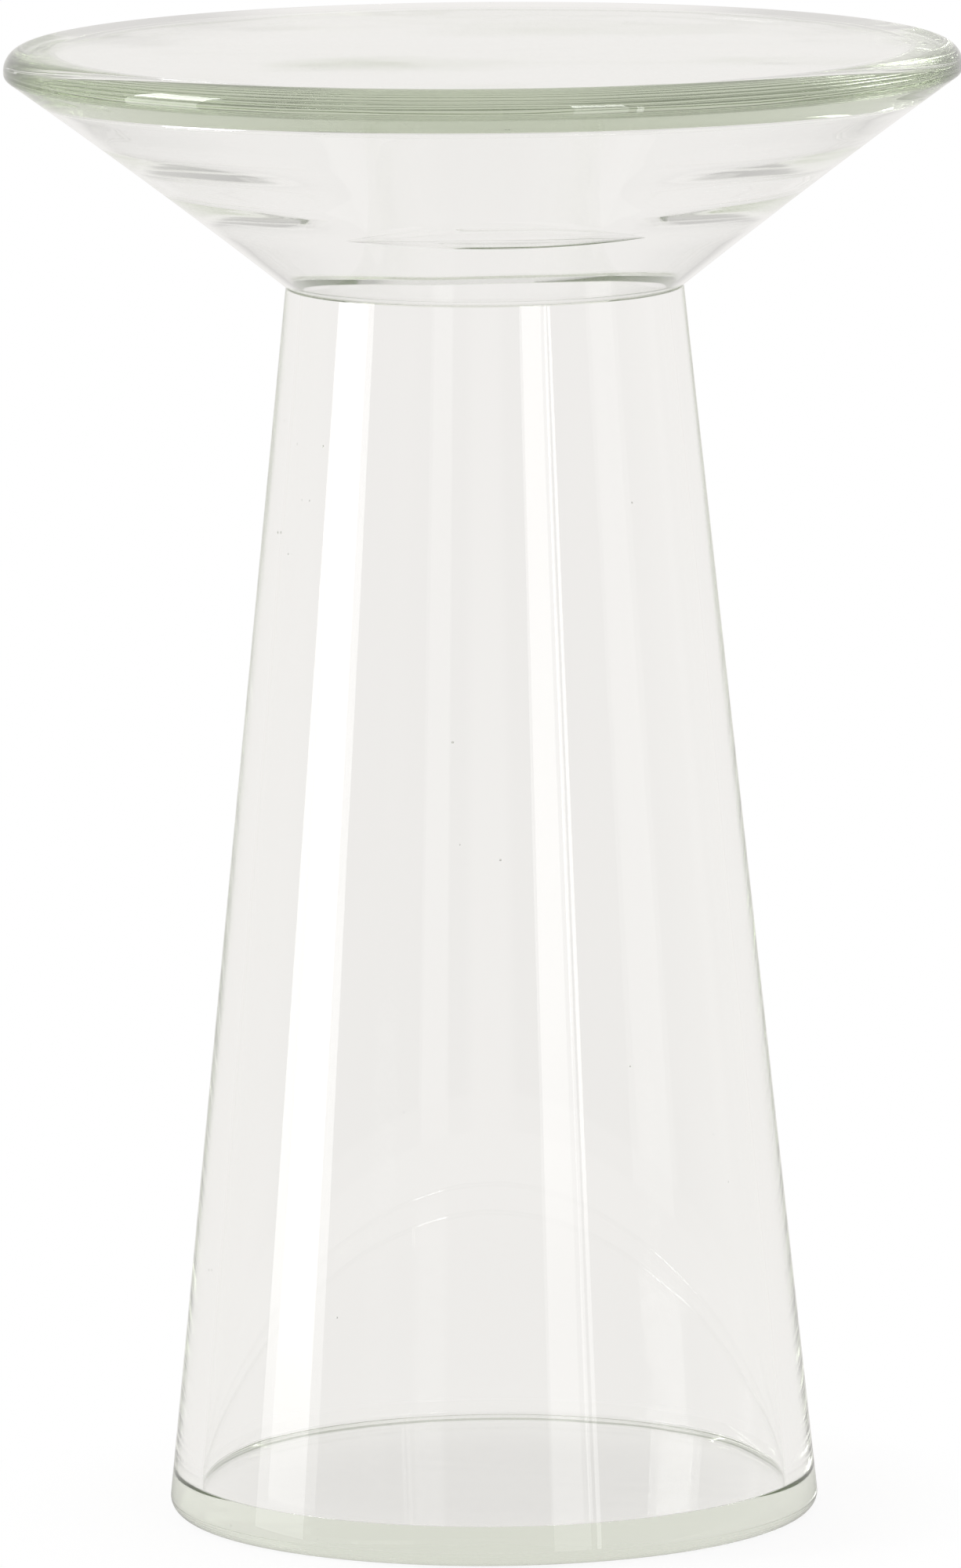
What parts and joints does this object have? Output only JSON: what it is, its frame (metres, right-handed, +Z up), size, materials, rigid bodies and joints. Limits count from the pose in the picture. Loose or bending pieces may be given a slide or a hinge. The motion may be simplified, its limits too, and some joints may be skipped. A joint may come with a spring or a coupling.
{
  "type": "drinks table",
  "caption": "Round clear blown-glass side table: flat-topped hollow cone bonded at its neck to a hollow tapered pedestal.",
  "frame": {"origin": "centre of the base, on the floor", "axes": "+Z up along the table's axis; the table is round, so +X and +Y have no special place"},
  "size_m": [0.3048, 0.3048, 0.472],
  "materials": {
    "blown_glass": "clear soda-lime glass with a faint green tint, fire-polished outside, ground only at the neck faces",
    "clear_adhesive": "clear cured adhesive, smooth"
  },
  "bodies": {
    "root": {"table_top": "blown_glass", "pedestal": "blown_glass", "bond_ring": "clear_adhesive"}
  },
  "joints": []
}
